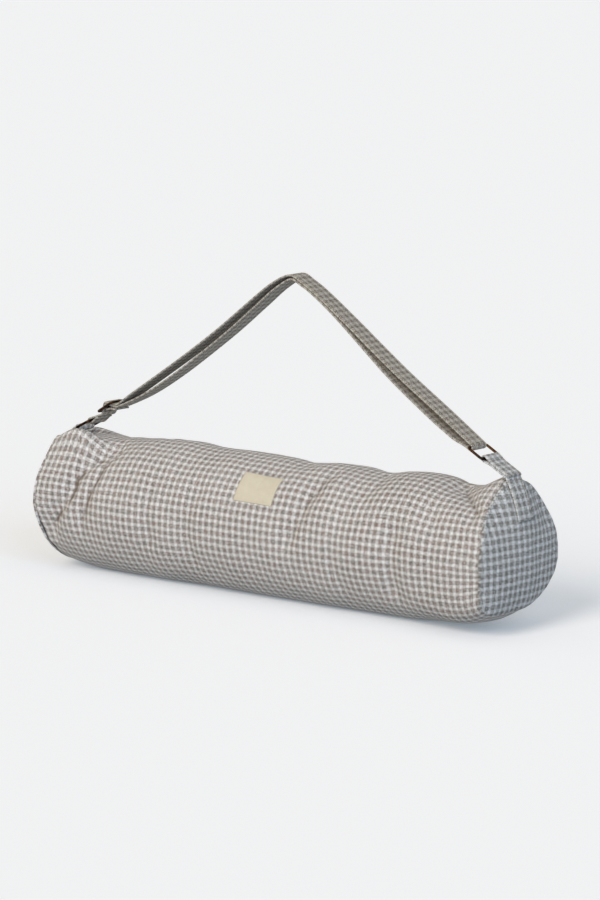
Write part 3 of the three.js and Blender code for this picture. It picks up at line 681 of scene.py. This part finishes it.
# Sweeps the webbing's section along a route, with closed ends. phase sets where the check starts.
def sweepWeb(name, route, material, crown=0.25, wobble=0.25, seed=0.0, phase=(0, 0.5)):
    line = resample(route, web["step"] / 2)
    keep = [0]
    for k in range(1, len(line) - 1):  # close points only where the route bends
        a, b = line[k] - line[keep[-1]], line[k + 1] - line[k]
        bend = abs(math.atan2(a[0] * b[1] - a[1] * b[0], a @ b))
        if np.linalg.norm(a) >= web["step"] or bend > 0.06:
            keep.append(k)
    line = line[keep + [len(line) - 1]]
    runs = np.gradient(line, axis=0)
    runs /= np.linalg.norm(runs, axis=1)[:, None]
    section = webSection()
    places = arcLength(line)
    rings = []
    for point, run, place in zip(line, runs, places):
        wave = wobble * noise.noise(Vector((place / 40, seed, 0.3)))
        out = sideOf(run)
        shell = section[:, 1] - crown * (section[:, 0] / (web["width"] / 2)) ** 2 * 0.5
        across = section[:, 0] + wave
        rings.append(np.stack([point[0] + out[0] * shell, across, point[1] + out[1] * shell], axis=-1))
    points = np.array(rings)
    count = len(section)
    quads = gridFaces(len(points), count)
    flatPoints = points.reshape(-1, 3)
    caps = [list(range(count)), list(range((len(points) - 1) * count, len(points) * count))]
    row, column = quads[:, 0] // count, quads[:, 0] % count
    nextColumn = (column + 1) % count
    across = section[:, 0] / checkRepeat + phase[1]
    long = places / checkRepeat + phase[0]
    corners = [(row, column), (row + 1, column), (row + 1, nextColumn), (row, nextColumn)]
    uvs = np.stack([np.stack([long[r], across[c]], axis=-1) for r, c in corners], axis=1)
    capMap = np.stack([section[:, 1] / checkRepeat, across], axis=-1)
    faces = [list(q) for q in quads] + caps
    return makePiece(name, flatPoints, faces, [uvs, capMap, capMap], material), line


# A tab's route: up the end panel, round the ring's lower bar and back to the seam
def tabRoute(end, name):
    half = web["thickness"] / 2 + web["layerRoom"]
    reach = bodyPoint(end, math.pi / 2)[2] - midHeight
    clear = 2 * bag["seatGap"] + web["thickness"] / 2
    shares = 1 - (1 - np.linspace(0, 1, 9)) * web["tabStrip"] / reach
    face = np.array([panelPoint(end, share, np.array(math.pi / 2), bag["seatGap"] + bag["wall"])[[0, 2]]
                     for share in shares])
    runs = np.gradient(face, axis=0)
    runs /= np.linalg.norm(runs, axis=1)[:, None]
    strip = face + np.stack([runs[:, 1], -runs[:, 0]], axis=-1) * end * clear
    way = lead[name]
    outSide = -end * sideOf(way)
    length = np.linalg.norm(lowerBar[name] - root[name])
    nearBar = max(length - 5, length * 0.5)
    spread = min(web["loopSpread"], loopRadius)
    outerLayer = [root[name] + outSide * half, root[name] + way * nearBar + outSide * spread]
    innerLayer = [root[name] + way * nearBar - outSide * spread, root[name] - outSide * half]
    if length > 16:
        outerLayer.insert(1, root[name] + way * (length - 11) + outSide * half)
        innerLayer.insert(1, root[name] + way * (length - 11) - outSide * half)
    eye = turnRound(lowerBar[name], outSide, 180 * end)
    return resample(splineThrough(list(strip) + outerLayer + eye + innerLayer, 8), 0.5)


# Where the end panel's check lies under a tab's strip, so that the two run on
def tabPhase(route):
    return (route[0][1] / checkRepeat + 0.25, 0.25)


strapRibbon, strapLine = sweepWeb("strap_webbing", strapRoute(), strapCotton, seed=1.0)
rightRoute, leftRoute = tabRoute(1, "right"), tabRoute(-1, "left")
# The tabs take the check copy with painted shade and painted cool light, so that the right tab runs on from the right
# panel
tabRightRibbon, tabRightLine = sweepWeb("tab_webbing_right", rightRoute, shadeCopyCotton, 0.1, 0.1, 5.0,
                                        tabPhase(rightRoute))
tabLeftRibbon, tabLeftLine = sweepWeb("tab_webbing_left", leftRoute, shadeCopyCotton, 0.1, 0.1, 9.0,
                                      tabPhase(leftRoute))
print("webbing made")


# Bent wire: a rounded rectangle of round wire, in the plane of a direction and the width of the bag
wireFine = {"sides": 18, "cornerSteps": 9, "barSteps": 9}
wireAcross = (web["width"] + web["wire"]) / 2 + web["sideClearance"]


def wirePath(centre, direction, length):
    halfRun = (length - web["wire"]) / 2
    forward = np.array([direction[0], 0, direction[1]])
    middle = np.array([centre[0], 0, centre[1]])
    path, outward = [], []
    for corner in range(4):
        forwardSign = 1 if corner in (0, 3) else -1
        acrossSign = 1 if corner < 2 else -1
        for step in range(wireFine["cornerSteps"] + 1):
            turn = (corner + step / wireFine["cornerSteps"]) * math.pi / 2
            out = forward * math.cos(turn) + np.array([0, math.sin(turn), 0])
            spot = middle + forward * forwardSign * (halfRun - cornerRadius)
            spot = spot + np.array([0, acrossSign * (wireAcross - cornerRadius), 0])
            path.append(spot + out * cornerRadius)
            outward.append(out)
    return np.array(path), np.array(outward)


def wireRings(path, outward, direction):
    normal = np.array([-direction[1], 0, direction[0]])
    turn = np.linspace(0, 2 * math.pi, wireFine["sides"], endpoint=False)
    radius = web["wire"] / 2
    circle = outward[:, None] * np.cos(turn)[None, :, None] + normal * np.sin(turn)[None, :, None]
    return path[:, None] + radius * circle


def makeWire(name, centre, direction, length, middleBar=False):
    rings = wireRings(*wirePath(centre, direction, length), direction)
    count = wireFine["sides"]
    faces = gridFaces(len(rings) + 1, count) % (len(rings) * count)
    points, parts = [rings.reshape(-1, 3)], [faces]
    if middleBar:
        steps = wireFine["barSteps"]
        spots = np.array([(centre[0], y, centre[1]) for y in np.linspace(-wireAcross, wireAcross, steps)])
        out = np.tile(np.array([direction[0], 0, direction[1]]), (steps, 1))
        bar = wireRings(spots, out, direction)
        start = len(points[0])
        points.append(bar.reshape(-1, 3))
        parts.append(gridFaces(steps, count) + start)
        ends = [[start + row * count + k for k in range(count)] for row in (0, steps - 1)]
    else:
        ends = []
    allFaces = [list(f) for part in parts for f in part] + ends
    corners = sum(len(f) for f in allFaces)
    return makePiece(name, np.concatenate(points), allFaces, [np.zeros((corners, 2))], darkBrass)


ringRight = makeWire("ring_wire_right", (lowerBar["right"] + upperBar["right"]) / 2, lead["right"], web["ringLength"])
ringLeft = makeWire("ring_wire_left", (lowerBar["left"] + upperBar["left"]) / 2, lead["left"], web["ringLength"])
sliderWire = makeWire("slider_wire", sliderMiddle, sliderLead, web["sliderLength"], middleBar=True)
print("metal made")

# The label patch, a little tilted on the front
label = {
    "length": 54, "height": 38, "thickness": 0.9, "place": 3, "angle": 41, "columns": 54, "rows": 38,
    "stitchInset": 2.2, "sewnDepth": 0.22, "edgeDrop": 0.35, "edgeReach": 1.2,
}


# across and up run from -0.5 to 0.5
def labelPoint(across, up, out):
    along = (label["place"] + across * label["length"]) / halfLength
    angle = math.radians(label["angle"]) + up * label["height"] / midHeight
    return bodyPoint(along, angle, -bodyRelief(along, angle) - out)


def makeLabel():
    across, up = np.meshgrid(np.linspace(-0.5, 0.5, label["columns"] + 1),
                             np.linspace(-0.5, 0.5, label["rows"] + 1), indexing="ij")
    edge = np.minimum((0.5 - np.abs(across)) * label["length"], (0.5 - np.abs(up)) * label["height"])
    turned = label["edgeDrop"] * np.clip(1 - edge / label["edgeReach"], 0, 1) ** 2
    sewn = label["sewnDepth"] * bell(edge - label["stitchInset"], 0.8)
    top = labelPoint(across, up, bag["seatGap"] + label["thickness"] - turned - sewn)
    under = labelPoint(across, up, np.full(across.shape, 0.1))
    rows, columns = across.shape
    size = rows * columns
    upper = gridFaces(rows, columns, wrap=False)
    lower = upper[:, ::-1] + size
    rim = (list(range(columns - 1)) + [r * columns + columns - 1 for r in range(rows - 1)]
           + [(rows - 1) * columns + c for c in range(columns - 1, 0, -1)]
           + [r * columns for r in range(rows - 1, 0, -1)])
    walls = np.array([(a, b, b + size, a + size) for a, b in zip(rim, rim[1:] + rim[:1])])
    faces = np.concatenate([upper, lower, walls])
    flatMap = np.stack([across * label["length"], up * label["height"]], axis=-1).reshape(-1, 2) / checkRepeat
    both = np.concatenate([flatMap, flatMap])
    points = np.concatenate([top.reshape(-1, 3), under.reshape(-1, 3)])
    return makePiece("label_patch_cloth", points, faces, [both[faces]], creamLabel)


labelPatch = makeLabel()
print("label made")

# Stitches: short threads laid along lines of points by Geometry Nodes
stitch = {"spacing": 3.4, "length": 2.6, "radius": 0.27, "sink": 0.08, "labelRise": 0.12, "seed": 4}


def stitchTree():
    tree = bpy.data.node_groups.new("stitchRun", "GeometryNodeTree")
    face = tree.interface
    face.new_socket("Lines", in_out="INPUT", socket_type="NodeSocketGeometry")
    for title, value in (("Spacing", 0.0034), ("Stitch length", 0.0026), ("Thread radius", 0.00027)):
        face.new_socket(title, in_out="INPUT", socket_type="NodeSocketFloat").default_value = value
    face.new_socket("Seed", in_out="INPUT", socket_type="NodeSocketInt").default_value = 1
    face.new_socket("Thread", in_out="INPUT", socket_type="NodeSocketMaterial")
    face.new_socket("Stitches", in_out="OUTPUT", socket_type="NodeSocketGeometry")
    given = addNode(tree, "NodeGroupInput").outputs
    curve = addNode(tree, "GeometryNodeMeshToCurve", None, {"Mesh": given["Lines"]})
    spaced = addNode(tree, "GeometryNodeResampleCurve", {"mode": "LENGTH"},
                     {"Curve": curve.outputs["Curve"], "Length": given["Spacing"]})
    along = addNode(tree, "GeometryNodeInputTangent")
    turned = addNode(tree, "FunctionNodeAlignRotationToVector", {"axis": "Z"}, {"Vector": along.outputs["Tangent"]})
    size = addNode(tree, "ShaderNodeCombineXYZ", None, {
        0: given["Thread radius"], 1: given["Thread radius"],
        2: addNode(tree, "ShaderNodeMath", {"operation": "MULTIPLY"}, {0: given["Stitch length"], 1: 0.5}).outputs[0]})
    bead = addNode(tree, "GeometryNodeMeshUVSphere", None, {"Segments": 6, "Rings": 5, "Radius": 1.0})
    soft = addNode(tree, "GeometryNodeSetShadeSmooth", None, {"Geometry": bead.outputs["Mesh"]})
    threadBit = addNode(tree, "GeometryNodeTransform", None,
                        {"Geometry": soft.outputs["Geometry"], "Scale": size.outputs[0]})
    vary = addNode(tree, "FunctionNodeRandomValue", {"data_type": "FLOAT"},
                   {2: 0.88, 3: 1.10, "Seed": given["Seed"]})
    placed = addNode(tree, "GeometryNodeInstanceOnPoints", None, {
        "Points": spaced.outputs["Curve"], "Instance": threadBit.outputs["Geometry"],
        "Rotation": turned.outputs["Rotation"], "Scale": vary.outputs[1]})
    real = addNode(tree, "GeometryNodeRealizeInstances", None, {"Geometry": placed.outputs["Instances"]})
    dyed = addNode(tree, "GeometryNodeSetMaterial", None,
                   {"Geometry": real.outputs["Geometry"], "Material": given["Thread"]})
    addNode(tree, "NodeGroupOutput", None, {"Stitches": dyed.outputs["Geometry"]})
    return tree


# Lines in both edge grooves, on both faces
def webStitchLines(line):
    runs = np.gradient(line, axis=0)
    runs /= np.linalg.norm(runs, axis=1)[:, None]
    out = np.stack([-runs[:, 1], runs[:, 0]], axis=-1)
    rise = web["thickness"] / 2 - web["grooveDepth"] + stitch["radius"] - stitch["sink"]
    lines = []
    for side in (1, -1):
        for edge in (-1, 1):
            spot = line + out * rise * side
            y = np.full(len(line), edge * (web["width"] / 2 - web["grooveFromEdge"]))
            lines.append(np.stack([spot[:, 0], y, spot[:, 1]], axis=-1))
    return lines


def labelStitchLine():
    a = 0.5 - label["stitchInset"] / label["length"]
    b = 0.5 - label["stitchInset"] / label["height"]
    corners = [(-a, -b), (a, -b), (a, b), (-a, b), (-a, -b)]
    sides = [np.linspace(p, q, 14)[:-1] for p, q in zip(corners, corners[1:])]
    spots = np.concatenate(sides + [np.array(corners[-1:])])
    out = np.full(len(spots), bag["seatGap"] + label["thickness"] - label["sewnDepth"] + stitch["labelRise"])
    return labelPoint(spots[:, 0], spots[:, 1], out)


def makeStitches():
    lines = webStitchLines(strapLine) + webStitchLines(tabRightLine[4:]) + webStitchLines(tabLeftLine[4:])
    lines.append(labelStitchLine())
    points = np.concatenate(lines)
    edges, start = [], 0
    for line in lines:
        edges += [(start + k, start + k + 1) for k in range(len(line) - 1)]
        start += len(line)
    mesh = bpy.data.meshes.new("stitch_lines")
    mesh.from_pydata(((points + shift) * mm).tolist(), edges, [])
    carrier = addObject("stitch_lines", mesh)
    modifier = carrier.modifiers.new("stitchRun", "NODES")
    modifier.node_group = stitchTree()
    face = modifier.node_group.interface.items_tree
    sockets = {item.name: item.identifier for item in face if item.in_out == "INPUT"}
    modifier[sockets["Spacing"]] = stitch["spacing"] * mm
    modifier[sockets["Stitch length"]] = stitch["length"] * mm
    modifier[sockets["Thread radius"]] = stitch["radius"] * mm
    modifier[sockets["Seed"]] = stitch["seed"]
    modifier[sockets["Thread"]] = thread
    result = bpy.data.meshes.new_from_object(carrier.evaluated_get(bpy.context.evaluated_depsgraph_get()))
    piece = addObject("seam_stitches", result)
    bpy.data.objects.remove(carrier)
    return piece


stitches = makeStitches()
print("stitches made")

# Each piece, the part it stands for and replaces, and the name of a finish slot, which nothing here reads; all pieces
# ride on the root
dressing = [
    (bagBody, "body_tube", "check_cloth"), (panelRight, "end_panel_right", "check_cloth"),
    (panelLeft, "end_panel_left", "check_cloth"), (strapRibbon, "shoulder_strap", "check_webbing"),
    (tabRightRibbon, "tab_right", "check_webbing"), (tabLeftRibbon, "tab_left", "check_webbing"),
    (ringRight, "ring_right", "dark_metal"), (ringLeft, "ring_left", "dark_metal"),
    (sliderWire, "slider", "dark_metal"), (labelPatch, "label_patch", "label_cloth"),
]
for piece, node, slot in dressing:
    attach(piece, "root")
    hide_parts(node)
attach(stitches, "root")

# White floor with a faint glow, a soft white sky, and two soft suns: a warm one from the front and a cool one
# from the right
studio = {
    "floor": "#ffffff", "bounce": 0.34, "glow": 0.18, "glowColour": "#dff0ff", "floorSize": 60,
    "sky": "#fbf8f2", "skyStrength": 0.42,
    "frontSun": {"turn": 6, "rise": 30, "strength": 1.75, "spread": 30, "colour": "#fff4e8"},
    "rightSun": {"turn": 62, "rise": 20, "strength": 1.05, "spread": 36, "colour": "#c4dcff"},
}


def towards(look):
    turn, rise = math.radians(look["turn"]), math.radians(look["rise"])
    return Vector((math.sin(turn) * math.cos(rise), -math.cos(turn) * math.cos(rise), math.sin(rise)))


def makeStudio():
    size = studio["floorSize"] / 2
    mesh = bpy.data.meshes.new("floor")
    mesh.from_pydata([(-size, -size, 0), (size, -size, 0), (size, size, 0), (-size, size, 0)], [], [(0, 1, 2, 3)])
    floor = addObject("floor", mesh)
    material, tree, surface = newMaterial("matt_white_floor")
    pale = paint(studio["floor"])
    dimmed = tuple(c * studio["bounce"] for c in pale[:3]) + (1,)
    ray = addNode(tree, "ShaderNodeLightPath")
    tone = blendColours(tree, ray.outputs["Is Diffuse Ray"], pale, dimmed)
    tree.links.new(tone, surface.inputs["Base Color"])  # the floor throws less light than it shows
    surface.inputs["Emission Color"].default_value = paint(studio["glowColour"])
    surface.inputs["Emission Strength"].default_value = studio["glow"]
    surface.inputs["Roughness"].default_value = 1.0
    surface.inputs["Specular IOR Level"].default_value = 0.0
    mesh.materials.append(material)
    world = bpy.data.worlds.new("studio_sky")
    world.use_nodes = True
    sky = world.node_tree.nodes["Background"]
    sky.inputs["Color"].default_value = paint(studio["sky"])
    sky.inputs["Strength"].default_value = studio["skyStrength"]
    bpy.context.scene.world = world
    bpy.context.scene.view_settings.view_transform = "Standard"
    for name in ("frontSun", "rightSun"):
        look = studio[name]
        lamp = bpy.data.lights.new(name, "SUN")
        lamp.energy = look["strength"]
        lamp.angle = math.radians(look["spread"])
        lamp.color = paint(look["colour"])[:3]
        sun = addObject(name, lamp)
        sun.rotation_euler = towards(look).to_track_quat("Z", "Y").to_euler()


makeStudio()

# Degrees and metres, and pixels of the photo
camera = {"turn": 39.66, "rise": 10.44, "distance": 4.711, "aim": (0, 0, 0.08), "focal": 4150,
          "shift": (13.8, 76.5), "pixelsHigh": 900, "film": 36}


def makeCamera():
    back = towards(camera)
    lens = bpy.data.cameras.new("photo_view")
    lens.sensor_fit = "VERTICAL"
    lens.sensor_height = camera["film"]
    lens.lens = camera["focal"] / camera["pixelsHigh"] * camera["film"]
    lens.shift_x, lens.shift_y = (pixels / camera["pixelsHigh"] for pixels in camera["shift"])
    lens.clip_end = 200
    eye = addObject("photo_view", lens)
    eye.location = Vector(camera["aim"]) + back * camera["distance"]
    eye.rotation_euler = back.to_track_quat("Z", "Y").to_euler()
    bpy.context.scene.camera = eye


makeCamera()
print("studio and camera set")
